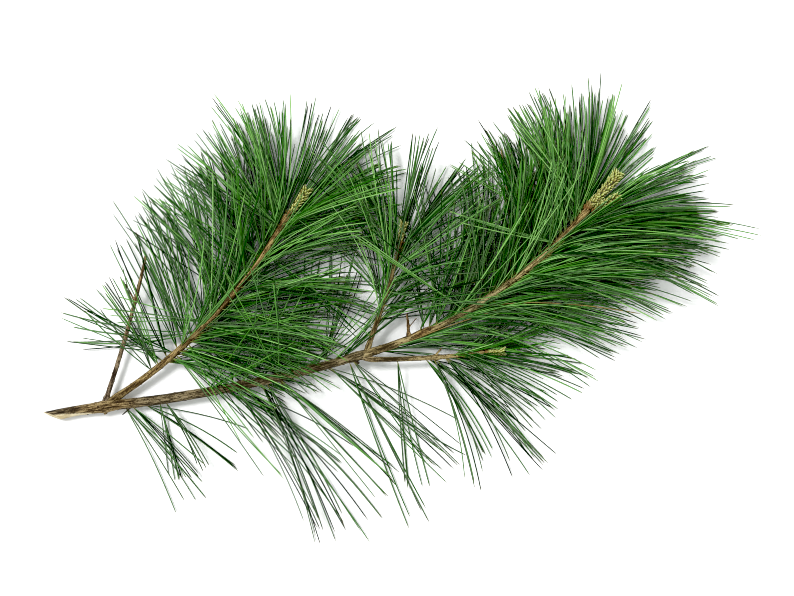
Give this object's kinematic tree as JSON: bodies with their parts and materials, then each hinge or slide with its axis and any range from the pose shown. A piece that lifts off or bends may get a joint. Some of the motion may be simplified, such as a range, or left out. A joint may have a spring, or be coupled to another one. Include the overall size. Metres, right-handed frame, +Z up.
{
  "type": "pine branch",
  "caption": "Cut branch of eastern white pine lying flat, with forked woody limbs, long fine needles in brushes and pale candles at the tips.",
  "frame": {"origin": "middle of the branch's footprint, on the surface that it lies on", "axes": "+X along the branch from the cut end to the leader's tip, +Z up from the surface"},
  "size_m": [0.5518, 0.34, 0.0722],
  "materials": {
    "bark": "rough brown-grey bark with needle scars, pale wood at the cut end",
    "young_bark": "thin olive-brown bark, orange-brown near the forks",
    "dead_bark": "dry dark brown bark",
    "candle": "matt yellow-green bud scales with paler tips",
    "needles": "satin green needles with paler inner faces"
  },
  "bodies": {
    "root": {"main_stem_base": "bark", "main_stem_middle": "bark", "side_branch": "bark", "leader_shoot": "young_bark", "upper_side_shoot": "young_bark", "lower_side_shoot": "young_bark", "dead_twig": "dead_bark", "dead_spur": "dead_bark", "leader_candle_long": "candle", "leader_candle_short": "candle", "side_branch_candle": "candle", "upper_shoot_candle": "candle", "lower_shoot_candle": "candle", "main_stem_needles": "needles", "side_branch_needles": "needles", "leader_needles": "needles", "lower_shoot_needles": "needles", "upper_shoot_needles": "needles"}
  },
  "joints": []
}
